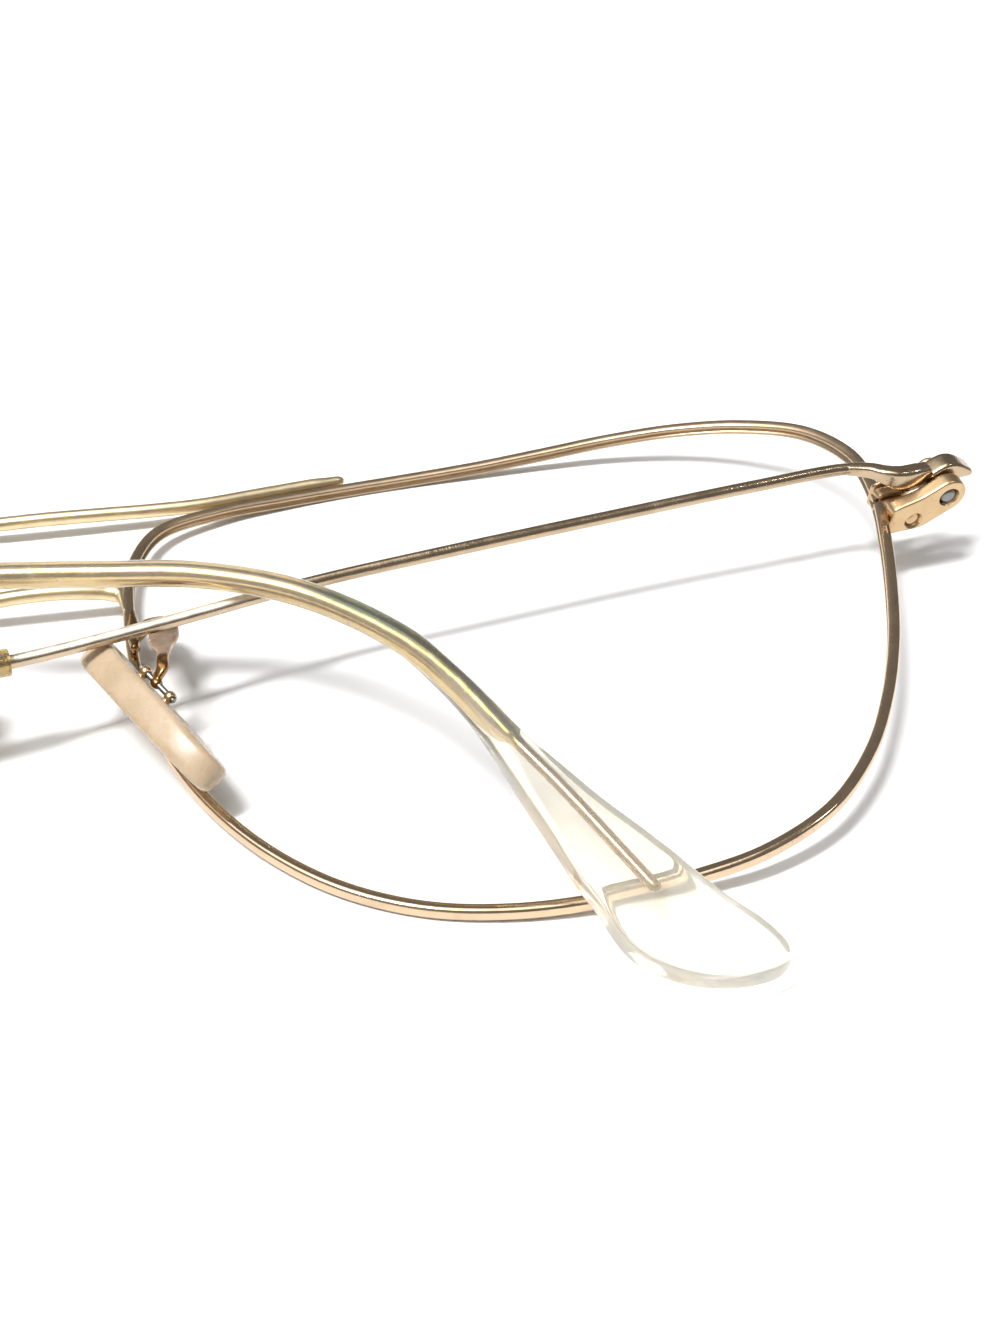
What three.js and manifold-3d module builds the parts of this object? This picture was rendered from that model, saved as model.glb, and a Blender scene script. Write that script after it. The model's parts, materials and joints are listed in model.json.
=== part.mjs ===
// Wire spectacle frame with a double bridge, lying face down with its temples folded.
// Millimetres. +X is the wearer's right, +Y the frame's upper (brow) side,
// +Z points away from the table, towards the wearer's face.
import * as THREE from 'three';
import { mergeVertices } from 'three/addons/utils/BufferGeometryUtils.js';
import Module from 'manifold-3d';

const wasm = await Module();
wasm.setup();

// ---------------------------------------------------------------- dimensions
const RIM_RADIAL = 0.45;       // half of the eyewire's radial thickness
const RIM_DEPTH = 0.52;        // half of the eyewire's front-to-back depth
const GROOVE_DEPTH = 0.36;     // lens groove on the inner side of the eyewire
const SEAT_DEPTH = 0.86;       // half depth and outer reach of the closing blocks' seat around the eyewire
const SEAT_RADIAL = 0.715;
const RIM_SPLIT = 0.36;        // opening of the eyewire at its closing block
const RIM_MID = 0.64;          // height of the eyewire's middle where the front comes nearest to the table
const APEX_X = 27;             // where the curved front comes nearest to the table
const BASE_CURVE_R = 130;      // horizontal bend radius of the front
const VERTICAL_R = 400;        // vertical bend radius of the front
const BAR_R = 0.58;            // brow bar wire radius
const BRIDGE_R = 0.6;          // lower bridge wire radius
const WIRE_R = 0.48;           // temple wire radius
const CORE_R = 0.42;           // temple wire radius inside the ear tip's blade
const TIP_R = 0.96;            // ear tip tube radius
const BORE_R = 0.64;           // bore of the ear tip around the wire
const LEAF_OUT = 2.35;         // outer face of the lower hinge leaf, from the hinge's middle
const UPPER_OUT = 1.75;        // outer face of the upper hinge leaf
const UPPER_R = 1.18;          // radius of the upper leaf's rounded end
const LEAF_IN = 1.1;           // inner face of the hinge leaves
const KNUCKLE_H = 0.85;        // half height of the temple knuckle between the leaves
const HINGE_R = 1.5;           // radius of the rounded hinge ends
const HINGE_BORE = 0.76;
const HINGE_SCREW_R = 0.62;
const CLOSE_X = -2.72;         // closing screw, from the hinge axis towards the rim
const CLOSE_Z = -1.75;
const PAD_HALF_L = 7.3;
const PAD_HALF_W = 2.6;
const PAD_T = 2.25;
const PAD_BACK = -0.77;        // back of the pad, from its pin
const PAD_EDGE = 0.8;          // width of the pad's rounded edge
const PIN_R = 0.25;
const PIN_BORE = 0.38;

// centre line of the right eyewire seen from behind, from the inner top corner
// along the brow to the outer side, around the bottom and up the nose side
const RIM_OUTLINE = [
  [9.11, 19.21], [14.02, 21.85], [19.47, 23.22], [25.02, 24.17], [30.62, 24.73], [36.24, 25.06],
  [41.87, 25.33], [47.49, 25.3], [53.05, 24.48], [58.31, 22.49], [62.78, 19.12], [65.21, 14.13],
  [65.29, 8.52], [64.22, 2.99], [62.78, -2.45], [61.03, -7.8], [58.78, -12.95], [55.88, -17.77],
  [51.95, -21.76], [46.88, -24.15], [41.33, -25.06], [35.71, -25.41], [30.09, -25.1], [24.62, -23.84],
  [19.63, -21.27], [15.42, -17.55], [12.06, -13.04], [9.56, -8.0], [7.89, -2.64], [6.94, 2.91],
  [6.61, 8.53], [6.87, 14.15],
];
const BAR_HALF = [[0, 22.45, 1.75], [4.4, 22.5, 1.65], [8.4, 22.6, 1.5], [12.5, 22.98, 1.3], [16.65, 23.88, 1.08], [20.9, 24.78, 0.88], [24.0, 25.3, 0.8]];
const BRIDGE_HALF = [[0, 11.1, 2.6], [3.0, 11.12, 2.42], [5.8, 11.18, 1.9]];

// hinges: a point on each axis, the direction the folded temple takes and the
// direction it takes when open
const HINGE = {
  right: { at: [69.7, 7.85, 7.25], folded: [-0.99, -0.141, -0.02], open: [0.026, -0.122, 0.992] },
  left: { at: [-69.7, 7.85, 7.25], folded: [0.998, -0.053, 0.0175], open: [-0.026, -0.122, 0.992] },
};
// temple wires, folded, from beside the knuckle to the start of the ear tip
const WIRE = {
  right: [[64.5, 8.0, 8.47], [62.6, 8.5, 8.5], [55, 7.62, 8.4], [44, 6.15, 8.08], [29.9, 3.77, 7.95], [20.2, 2.02, 7.78], [8.82, -1.08, 7.76], [-0.54, -3.6, 8.0]],
  left: [[-64.5, 7.9, 8.47], [-62.6, 8.4, 8.52], [-50, 8.1, 8.75], [-35, 7.5, 9.05], [-20, 6.42, 9.35], [-8, 5.15, 9.55], [-3, 4.45, 9.6]],
};
// the wire goes on inside the ear tip
const CORE = {
  right: [[-7.4, -5.05, 8.62], [-14.3, -6.6, 8.5], [-21.0, -9.6, 8.1], [-27.0, -14.9, 7.4], [-30.0, -19.3, 6.4], [-33.2, -24.6, 5.05], [-35.3, -28.0, 4.25], [-38.0, -32.3, 3.25]],
  left: [[5.67, 3.07, 9.7], [12.59, 1.73, 9.7], [19.33, -1.58, 9.7], [25.58, -7.1, 9.2], [28.45, -11.0, 8.5], [31.6, -16.6, 7.25], [33.96, -20.4, 6.28], [38.3, -27.7, 4.0]],
};
// ear tip: centre, half width, half thickness
const TIP = {
  right: [
    [-0.54, -3.6, 8.0, TIP_R, TIP_R], [-7.4, -5.05, 8.62, TIP_R, TIP_R], [-14.3, -6.6, 8.5, TIP_R, TIP_R], [-21.0, -9.6, 8.1, TIP_R, TIP_R],
    [-27.0, -14.9, 7.4, TIP_R, TIP_R], [-30.0, -19.3, 6.4, 1.12, 0.98], [-31.4, -21.9, 5.75, 1.36, 1.0], [-33.4, -25.7, 4.78, 2.0, 1.0],
    [-35.9, -29.9, 3.8, 3.0, 0.98], [-38.8, -34.4, 2.85, 3.8, 0.95], [-40.74, -36.68, 2.45, 3.66, 0.9], [-42.64, -37.88, 2.16, 2.9, 0.8], [-44.18, -38.49, 2.03, 1.45, 0.55], [-44.83, -38.39, 2.0, 0.45, 0.25],
  ],
  left: [
    [-3, 4.45, 9.6, TIP_R, TIP_R], [5.67, 3.07, 9.7, TIP_R, TIP_R], [12.59, 1.73, 9.7, TIP_R, TIP_R], [19.33, -1.58, 9.7, TIP_R, TIP_R],
    [25.58, -7.1, 9.2, TIP_R, TIP_R], [28.3, -11.1, 8.5, 1.02, 0.97], [29.9, -14.0, 7.95, 1.12, 0.98], [31.4, -17.0, 7.2, 1.36, 1.0],
    [34.2, -22.2, 5.75, 2.15, 1.0], [36.5, -25.9, 4.6, 3.0, 0.98], [39.3, -30.2, 3.3, 3.8, 0.95], [41.14, -32.38, 2.7, 3.66, 0.9], [42.94, -33.48, 2.25, 2.9, 0.8], [44.48, -34.09, 2.05, 1.45, 0.55], [45.13, -33.99, 2.02, 0.45, 0.25],
  ],
};
// nose pad: middle of its pin, direction of the pin (down the pad) and the
// direction its back faces
const PAD = { at: [9.015, -4.86, 5.65], along: [0.5134, -0.8509, -0.11], back: [0.783, 0.4125, 0.4646] };
const PAD_ARM = [[6.98, 4.45, 2.32], [7.58, 5.13, 2.5], [8.45, 5.67, 2.9], [9.45, 4.85, 3.4], [9.9, 2.81, 4.0], [9.66, 0.45, 4.9], [9.5, -1.5, 5.75], [9.42, -3.0, 6.3], [9.42, -3.9, 6.3], [8.95, -4.45, 5.8]];

// ---------------------------------------------------------------- materials
const gold = () => new THREE.MeshStandardMaterial({ color: 0xc79a5b, roughness: 0.25, metalness: 1 });
const paleGold = () => new THREE.MeshStandardMaterial({ color: 0xd8b878, roughness: 0.22, metalness: 1 });
const steel = () => new THREE.MeshStandardMaterial({ color: 0x9a9a97, roughness: 0.35, metalness: 1 });
const clearPlastic = () => new THREE.MeshStandardMaterial({ color: 0xf3efe4, roughness: 0.08, metalness: 0, transparent: true, opacity: 0.35 });
const padPlastic = () => new THREE.MeshStandardMaterial({ color: 0xdcc2a3, roughness: 0.3, metalness: 0 });

// ---------------------------------------------------------------- helpers
const V = (a) => new THREE.Vector3(a[0], a[1], a[2]);
const mirror = (a) => [-a[0], a[1], a[2]];
function weld(geometry) {
  const g = geometry.clone();
  for (const name of Object.keys(g.attributes)) if (name !== 'position') g.deleteAttribute(name);
  return mergeVertices(g, 1e-5);
}
function solid(geometry) {
  const g = weld(geometry);
  const mesh = new wasm.Mesh({ numProp: 3, vertProperties: new Float32Array(g.attributes.position.array), triVerts: new Uint32Array(g.index.array) });
  return new wasm.Manifold(mesh);
}
function geometryOf(manifold) {
  const mesh = manifold.getMesh();
  const g = new THREE.BufferGeometry();
  g.setAttribute('position', new THREE.BufferAttribute(new Float32Array(mesh.vertProperties), 3));
  g.setIndex(new THREE.BufferAttribute(new Uint32Array(mesh.triVerts), 1));
  g.computeVertexNormals();
  return g;
}
function join(...parts) { return parts.reduce((a, b) => a.add(b)); }
function polygon(points) { return new THREE.Shape(points.map((p) => new THREE.Vector2(p[0], p[1]))); }
function roundShape(r, n, ry = r) {
  const points = [];
  for (let i = 0; i < n; i++) points.push([r * Math.cos((2 * Math.PI * i) / n), ry * Math.sin((2 * Math.PI * i) / n)]);
  return polygon(points);
}
function sweep(points, shape, steps) {
  const path = new THREE.CatmullRomCurve3(points.map(V), false, 'centripetal');
  return new THREE.ExtrudeGeometry(shape, { steps, extrudePath: path, bevelEnabled: false, curveSegments: 6 });
}
function ball(at, r, w = 10, h = 8) { return new THREE.SphereGeometry(r, w, h).translate(at[0], at[1], at[2]); }
// a plate drawn in x and z and raised along y
function plate(points, y0, y1) {
  const g = new THREE.ExtrudeGeometry(polygon(points.map((p) => [p[0], -p[1]])), { depth: y1 - y0, bevelEnabled: false });
  return g.rotateX(-Math.PI / 2).translate(0, y0, 0);
}
function cylinderY(r, y0, y1, x = 0, z = 0, n = 16) {
  return new THREE.CylinderGeometry(r, r, y1 - y0, n).translate(x, (y0 + y1) / 2, z);
}
function cylinderX(r, x0, x1, n = 14) {
  return new THREE.CylinderGeometry(r, r, x1 - x0, n).rotateZ(Math.PI / 2).translate((x0 + x1) / 2, 0, 0);
}
function flipX(geometry) {
  const g = weld(geometry);
  g.scale(-1, 1, 1);
  const index = g.index.array;
  for (let i = 0; i < index.length; i += 3) { const t = index[i]; index[i] = index[i + 1]; index[i + 1] = t; }
  return g;
}
const group = new THREE.Group();
function add(name, geometry, material, parent = group) {
  const mesh = new THREE.Mesh(geometry, material);
  mesh.name = name;
  parent.add(mesh);
  return mesh;
}

// ---------------------------------------------------------------- eyewires
const frontZ = (x, y) => RIM_MID + (Math.abs(x) - APEX_X) ** 2 / (2 * BASE_CURVE_R) + (y * y - 625) / (2 * VERTICAL_R);
const outline = new THREE.CatmullRomCurve3(RIM_OUTLINE.map((p) => new THREE.Vector3(p[0], p[1], 0)), true, 'centripetal');
outline.arcLengthDivisions = 800;
const RIM_LENGTH = outline.getLength();

function hingeBasis(side) {
  const h = HINGE[side];
  const folded = V(h.folded).normalize();
  const open = V(h.open).normalize();
  const axis = folded.clone().cross(open).normalize();
  const up = side === 'right' ? axis.clone() : axis.clone().negate();
  const x = side === 'right' ? folded.clone().negate() : folded.clone();
  const z = x.clone().cross(up).normalize();
  const matrix = new THREE.Matrix4().makeBasis(x, up, z).setPosition(V(h.at));
  return { matrix, inverse: matrix.clone().invert(), up, at: V(h.at) };
}
// place along the outline where the plane through the middle of the hinge cuts it
function splitPosition(side) {
  const { up, at } = hingeBasis(side);
  let best = 0;
  let bestValue = Infinity;
  for (let i = 0; i <= 2000; i++) {
    const u = 0.28 + (0.2 * i) / 2000;
    const p = outline.getPointAt(u);
    const q = new THREE.Vector3(side === 'right' ? p.x : -p.x, p.y, frontZ(p.x, p.y));
    const d = Math.abs(q.sub(at).dot(up));
    if (d < bestValue) { bestValue = d; best = u; }
  }
  return best;
}
function rimPath(side) {
  const u0 = splitPosition(side);
  const half = RIM_SPLIT / 2 / RIM_LENGTH;
  const n = 72;
  const points = [];
  for (let i = 0; i <= n; i++) {
    const u = (u0 + half + ((1 - 2 * half) * i) / n) % 1;
    const p = outline.getPointAt(u);
    points.push([side === 'right' ? p.x : -p.x, p.y, 0]);
  }
  return side === 'right' ? points : points.reverse();
}
// section: x towards the table, y outwards
function rimSection(seat = false) {
  const a = seat ? SEAT_DEPTH : RIM_DEPTH;
  const b = seat ? SEAT_RADIAL : RIM_RADIAL;
  if (seat) return polygon([[-a - 3, -b - 3], [a + 3, -b - 3], [a + 3, -b * 0.4], [a, -b * 0.4], [a, b * 0.6], [a * 0.6, b], [-a * 0.6, b], [-a, b * 0.6], [-a, -b * 0.4], [-a - 3, -b * 0.4]]);
  return polygon([
    [-a * 0.82, -b], [-a * 0.42, -b], [0, -b + GROOVE_DEPTH], [a * 0.42, -b], [a * 0.82, -b], [a, -b * 0.62],
    [a, b * 0.35], [a * 0.78, b * 0.82], [a * 0.3, b], [-a * 0.3, b], [-a * 0.78, b * 0.82], [-a, b * 0.35], [-a, -b * 0.62],
  ]);
}
function bendToFront(geometry) {
  const p = geometry.attributes.position;
  for (let i = 0; i < p.count; i++) p.setZ(i, p.getZ(i) + frontZ(p.getX(i), p.getY(i)));
  geometry.computeVertexNormals();
  return geometry;
}
const rims = {};
for (const side of ['right', 'left']) {
  rims[side] = rimPath(side);
  add(`${side}_rim`, weld(bendToFront(sweep(rims[side], rimSection(), 62))), gold());
}
// larger sweep over the outer side only, to seat the closing blocks
function rimCutter(side) {
  const u0 = splitPosition(side);
  const points = [];
  for (let i = -14; i <= 14; i++) {
    const p = outline.getPointAt((u0 + (i * 0.6) / RIM_LENGTH + 1) % 1);
    points.push([side === 'right' ? p.x : -p.x, p.y, 0]);
  }
  return bendToFront(sweep(side === 'right' ? points : points.reverse(), rimSection(true), 28));
}

// ---------------------------------------------------------------- brow bar and bridge
const barPoints = [...BAR_HALF.slice(1).map(mirror).reverse(), ...BAR_HALF];
const barEnd = BAR_HALF[BAR_HALF.length - 1];
add('brow_bar', geometryOf(join(
  solid(sweep(barPoints, roundShape(BAR_R, 10), 34)), solid(ball(barEnd, BAR_R * 0.985)), solid(ball(mirror(barEnd), BAR_R * 0.985)),
)), paleGold());
const bridgePoints = [...BRIDGE_HALF.slice(1).map(mirror).reverse(), ...BRIDGE_HALF];
add('lower_bridge', weld(sweep(bridgePoints, roundShape(BRIDGE_R, 10), 16)), paleGold());

// ---------------------------------------------------------------- hinges and closing blocks
function arc(cx, cz, r, from, to, n) {
  const points = [];
  for (let i = 0; i <= n; i++) {
    const t = THREE.MathUtils.degToRad(from + ((to - from) * i) / n);
    points.push([cx + r * Math.cos(t), cz + r * Math.sin(t)]);
  }
  return points;
}
// outlines in x (outwards) and z (backwards) around the hinge axis, for the right side
const leafOutline = [...arc(0, 0, HINGE_R, -62, 122, 10), [-2.3, 0.1], [-4.75, -0.62], [-4.9, -2.86], [-1.9, -2.78]];
const blockOutline = [[-1.98, -0.85], [-4.75, -0.85], [-4.9, -2.86], [-1.98, -2.78]];
const upperLeafOutline = [...arc(0, 0, UPPER_R, -62, 122, 10), [-2.3, 0.1], [-4.75, -0.62], [-4.9, -2.86], [-1.9, -2.78]];
const knuckleOutline = [
  ...arc(0, 0, HINGE_R, -38, 6, 4), [2.6, 0.2], [2.95, 0.45], [2.9, 0.9], [2.25, 1.28], [1.65, 1.7], [1.0, 1.9], [0.4, 1.86], [-0.5, 1.66], [-2.6, 1.62], [-5.2, 1.6],
  [-5.5, 1.15], [-5.2, 0.7], [-4.3, 0.72], [-3.5, 0.5], [-2.4, 0.12], [-1.75, -0.36], ...arc(0, 0, HINGE_R, 197, 300, 7),
];

const hingeGroups = {};
for (const side of ['right', 'left']) {
  const basis = hingeBasis(side);
  const holder = new THREE.Group();
  holder.applyMatrix4(basis.matrix);
  group.add(holder);
  hingeGroups[side] = holder;
  const own = (g) => (side === 'right' ? g : flipX(g));
  const seat = solid(rimCutter(side).applyMatrix4(basis.inverse));

  const hingeHole = solid(own(cylinderY(HINGE_BORE, -4, 4)));
  const closeHole = solid(own(cylinderY(0.6, -4, 4, CLOSE_X, CLOSE_Z, 14)));
  const lowerHead = solid(own(cylinderY(0.98, -4, -1.65, CLOSE_X, CLOSE_Z, 14)));

  const lower = join(solid(own(plate(leafOutline, -LEAF_OUT, -LEAF_IN))), solid(own(plate(blockOutline, -LEAF_OUT + 0.3, -0.14))));
  const upper = join(solid(own(plate(upperLeafOutline, LEAF_IN, UPPER_OUT))), solid(own(plate(blockOutline, 0.14, UPPER_OUT - 0.2))));
  add(`${side}_lower_lug`, geometryOf(lower.subtract(hingeHole).subtract(closeHole).subtract(lowerHead).subtract(seat)), gold(), holder);
  add(`${side}_upper_lug`, geometryOf(upper.subtract(hingeHole).subtract(closeHole).subtract(seat)), gold(), holder);

  // closing screw: head sunk in the lower lug
  const closing = join(solid(own(cylinderY(0.8, -2.2, -1.78, CLOSE_X, CLOSE_Z, 14))), solid(own(cylinderY(0.45, -1.9, 1.5, CLOSE_X, CLOSE_Z, 10))));
  const closingSlot = solid(own(new THREE.BoxGeometry(1.9, 0.24, 0.26).translate(CLOSE_X, -2.2, CLOSE_Z)));
  add(`${side}_closing_screw`, geometryOf(closing.subtract(closingSlot)), steel(), holder);

  // hinge screw: head above the upper leaf, tail through the lower one
  const screw = join(
    solid(own(cylinderY(HINGE_SCREW_R, -LEAF_OUT - 0.16, UPPER_OUT + 0.3))),
    solid(own(new THREE.CylinderGeometry(0.78, 0.98, 0.44, 18).translate(0, UPPER_OUT + 0.13 + 0.22, 0))),
  );
  const screwSlot = solid(own(new THREE.BoxGeometry(2.4, 0.34, 0.28).translate(0, UPPER_OUT + 0.57, 0)));
  add(`${side}_hinge_screw`, geometryOf(screw.subtract(screwSlot)), steel(), holder);
}

// ---------------------------------------------------------------- temples and ear tips
// a tube of changing width and thickness along a curve
function bladeAlong(stations, rings, sides) {
  const centre = new THREE.CatmullRomCurve3(stations.map(V), false, 'centripetal');
  const n = stations.length - 1;
  const g = new THREE.CylinderGeometry(1, 1, 1, sides, rings);
  const p = g.attributes.position;
  const zAxis = new THREE.Vector3(0, 0, 1);
  // more rings where the blade widens and bends
  const ease = (t) => (t < 0.5 ? t * 0.86 : 0.43 + (t - 0.5) * 1.14);
  for (let i = 0; i < p.count; i++) {
    const t = Math.min(1, Math.max(0, ease(0.5 - p.getY(i))));
    const at = centre.getPoint(t);
    const tangent = centre.getTangent(t);
    const k = t * n;
    const a = Math.min(n - 1, Math.floor(k));
    const f = k - a;
    const w = stations[a][3] + (stations[a + 1][3] - stations[a][3]) * f;
    const h = stations[a][4] + (stations[a + 1][4] - stations[a][4]) * f;
    const lateral = tangent.clone().cross(zAxis).normalize();
    const normal = tangent.clone().cross(lateral).normalize();
    const q = at.addScaledVector(lateral, p.getX(i) * w).addScaledVector(normal, p.getZ(i) * h);
    p.setXYZ(i, q.x, q.y, q.z);
  }
  return weld(g);
}
for (const side of ['right', 'left']) {
  const basis = hingeBasis(side);
  const own = (g) => (side === 'right' ? g : flipX(g));
  const knuckle = solid(own(plate(knuckleOutline, -KNUCKLE_H, KNUCKLE_H)).applyMatrix4(basis.matrix));
  const knuckleHole = solid(own(cylinderY(HINGE_BORE, -3, 3)).applyMatrix4(basis.matrix));
  // the wire starts inside the flattened end
  const s = side === 'right' ? 1 : -1;
  const start = new THREE.Vector3(-3.4 * s, 0.2, 1.12).applyMatrix4(basis.matrix).toArray();
  const wire = solid(sweep([start, ...WIRE[side], ...CORE[side].slice(0, 5)], roundShape(WIRE_R, 8), 44));
  const core = solid(sweep([CORE[side][3], ...CORE[side].slice(4)], roundShape(CORE_R, 8), 12));
  const end = CORE[side][CORE[side].length - 1];
  const tip = solid(ball(end, CORE_R * 0.98, 8, 6));
  const collar = solid(ball(start, 0.2, 6, 4));
  add(`${side}_temple`, geometryOf(join(wire, collar, core, tip, knuckle).subtract(knuckleHole)), gold());

  const blade = solid(bladeAlong(TIP[side], 34, 12));
  const first = V(TIP[side][0]);
  const before = V(WIRE[side][WIRE[side].length - 2]);
  const lead = first.clone().add(before.sub(first).normalize().multiplyScalar(3)).toArray();
  const boreEnd = V(end).add(V(end).sub(V(CORE[side][CORE[side].length - 2])).normalize().multiplyScalar(0.75)).toArray();
  const bore = solid(sweep([lead, WIRE[side][WIRE[side].length - 1], ...CORE[side], boreEnd], roundShape(BORE_R, 8), 40));
  add(`${side}_ear_tip`, geometryOf(blade.subtract(bore)), clearPlastic());
}

// ---------------------------------------------------------------- nose pads
function padBasis(side) {
  const f = side === 'right' ? (a) => V(a) : (a) => V(mirror(a));
  const x = f(PAD.along).normalize();
  const y = f(PAD.back).normalize();
  const z = x.clone().cross(y).normalize();
  y.copy(z).cross(x).normalize();
  return new THREE.Matrix4().makeBasis(x, y, z).setPosition(f(PAD.at));
}
for (const side of ['right', 'left']) {
  const matrix = padBasis(side);
  const holder = new THREE.Group();
  holder.applyMatrix4(matrix);
  group.add(holder);

  // pad: flat oval with rounded edges, recessed behind for its metal back plate
  const oval = [];
  for (let i = 0; i < 26; i++) {
    const t = (2 * Math.PI * i) / 26;
    const c = Math.cos(t);
    const sn = Math.sin(t);
    const e = 2 / 2.35;
    oval.push([(PAD_HALF_L - PAD_EDGE) * Math.sign(c) * Math.abs(c) ** e, (PAD_HALF_W - PAD_EDGE) * Math.sign(sn) * Math.abs(sn) ** e]);
  }
  const padBody = new THREE.ExtrudeGeometry(polygon(oval), { depth: PAD_T - 1.1, bevelEnabled: true, bevelThickness: 0.55, bevelSize: PAD_EDGE, bevelSegments: 3 });
  padBody.rotateX(-Math.PI / 2).translate(1.75, PAD_BACK - PAD_T + 0.55, 0);
  const recess = solid(new THREE.BoxGeometry(4.9, 2, 2.7).translate(0, -0.2, 0));
  add(`${side}_nose_pad`, geometryOf(solid(padBody).subtract(recess)), padPlastic(), holder);

  // back plate with two ears around the pin
  const ears = join(
    solid(new THREE.BoxGeometry(4.4, 0.34, 2.1).translate(0, -0.8, 0)),
    solid(cylinderX(0.55, -1.75, -1.28)), solid(cylinderX(0.55, 1.28, 1.75)),
    solid(new THREE.BoxGeometry(0.47, 0.8, 0.8).translate(-1.515, -0.42, 0)), solid(new THREE.BoxGeometry(0.47, 0.8, 0.8).translate(1.515, -0.42, 0)),
  );
  add(`${side}_pad_bracket`, geometryOf(ears.subtract(solid(cylinderX(PIN_BORE, -3, 3, 12)))), gold(), holder);
  add(`${side}_pad_pin`, weld(cylinderX(PIN_R, -2.0, 2.0, 10)), steel(), holder);

  // arm: flat strip from the eyewire, looped back to a barrel on the pin
  const f = side === 'right' ? (a) => a : mirror;
  const strip = solid(sweep(PAD_ARM.map(f), roundShape(0.34, 8, 0.62), 20));
  const barrel = solid(cylinderX(0.52, -1.08, 0.2).applyMatrix4(matrix));
  const barrelHole = solid(cylinderX(PIN_BORE, -3, 3, 12).applyMatrix4(matrix));
  add(`${side}_pad_arm`, geometryOf(join(strip, barrel).subtract(barrelHole)), gold());
}

// ---------------------------------------------------------------- origin: bottom centre of the whole frame
group.updateMatrixWorld(true);
const box = new THREE.Box3().setFromObject(group, true);
group.position.set(-(box.min.x + box.max.x) / 2, -(box.min.y + box.max.y) / 2, -box.min.z);
group.updateMatrixWorld(true);

export default group;
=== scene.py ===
"""Wire spectacle frame with a double bridge, folded and lying face down: looks, floor, light and camera."""
import json
import math

import bpy
import bmesh
import numpy as np
from mathutils import Matrix, Vector
from mathutils.geometry import tessellate_polygon


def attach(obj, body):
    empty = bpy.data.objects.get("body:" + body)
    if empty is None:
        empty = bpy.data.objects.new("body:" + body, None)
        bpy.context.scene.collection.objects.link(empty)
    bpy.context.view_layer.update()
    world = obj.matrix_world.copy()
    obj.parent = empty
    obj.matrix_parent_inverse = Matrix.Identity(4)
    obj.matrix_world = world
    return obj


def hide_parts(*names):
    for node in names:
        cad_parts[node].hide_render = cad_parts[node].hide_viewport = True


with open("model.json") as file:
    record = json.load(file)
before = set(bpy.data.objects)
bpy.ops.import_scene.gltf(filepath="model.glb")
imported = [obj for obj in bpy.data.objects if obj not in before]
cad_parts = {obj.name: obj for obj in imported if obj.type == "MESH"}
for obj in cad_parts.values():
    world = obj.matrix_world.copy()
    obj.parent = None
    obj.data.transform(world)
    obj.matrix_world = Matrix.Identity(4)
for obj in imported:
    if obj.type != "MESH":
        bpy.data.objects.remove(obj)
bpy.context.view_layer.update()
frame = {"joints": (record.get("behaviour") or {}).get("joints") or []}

scene = bpy.context.scene

# ------------------------------------------------------------------ dimensions, in mm, as in the CAD part
RIM_RADIAL, RIM_DEPTH, GROOVE_DEPTH, RIM_SPLIT, RIM_MID = 0.45, 0.52, 0.34, 0.36, 0.64
APEX_X, BASE_CURVE_R, VERTICAL_R = 27.0, 130.0, 400.0
BAR_R, BRIDGE_R = 0.58, 0.6
WIRE_R, CORE_R, TIP_R = 0.48, 0.42, 0.96
LEAF_OUT, UPPER_OUT, LEAF_IN, KNUCKLE_H, HINGE_R, UPPER_R = 2.35, 1.75, 1.1, 0.85, 1.5, 1.18
CLOSE_X, CLOSE_Z = -2.72, -1.75
PAD_HALF_L, PAD_HALF_W, PAD_T, PAD_BACK = 7.3, 2.6, 2.25, -0.77

RIM_OUTLINE = [
    [9.11, 19.21], [14.02, 21.85], [19.47, 23.22], [25.02, 24.17], [30.62, 24.73], [36.24, 25.06],
    [41.87, 25.33], [47.49, 25.3], [53.05, 24.48], [58.31, 22.49], [62.78, 19.12], [65.21, 14.13],
    [65.29, 8.52], [64.22, 2.99], [62.78, -2.45], [61.03, -7.8], [58.78, -12.95], [55.88, -17.77],
    [51.95, -21.76], [46.88, -24.15], [41.33, -25.06], [35.71, -25.41], [30.09, -25.1], [24.62, -23.84],
    [19.63, -21.27], [15.42, -17.55], [12.06, -13.04], [9.56, -8.0], [7.89, -2.64], [6.94, 2.91],
    [6.61, 8.53], [6.87, 14.15],
]
BAR_HALF = [[0, 22.45, 1.75], [4.4, 22.5, 1.65], [8.4, 22.6, 1.5], [12.5, 22.98, 1.3], [16.65, 23.88, 1.08], [20.9, 24.78, 0.88], [24.0, 25.3, 0.8]]
BRIDGE_HALF = [[0, 11.1, 2.6], [3.0, 11.12, 2.42], [5.8, 11.18, 1.9]]
HINGE = {
    "right": {"at": [69.7, 7.85, 7.25], "folded": [-0.99, -0.141, -0.02], "open": [0.026, -0.122, 0.992]},
    "left": {"at": [-69.7, 7.85, 7.25], "folded": [0.998, -0.053, 0.0175], "open": [-0.026, -0.122, 0.992]},
}
WIRE = {
    "right": [[64.5, 8.0, 8.47], [62.6, 8.5, 8.5], [55, 7.62, 8.4], [44, 6.15, 8.08], [29.9, 3.77, 7.95], [20.2, 2.02, 7.78], [8.82, -1.08, 7.76], [-0.54, -3.6, 8.0]],
    "left": [[-64.5, 7.9, 8.47], [-62.6, 8.4, 8.52], [-50, 8.1, 8.75], [-35, 7.5, 9.05], [-20, 6.42, 9.35], [-8, 5.15, 9.55], [-3, 4.45, 9.6]],
}
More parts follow.
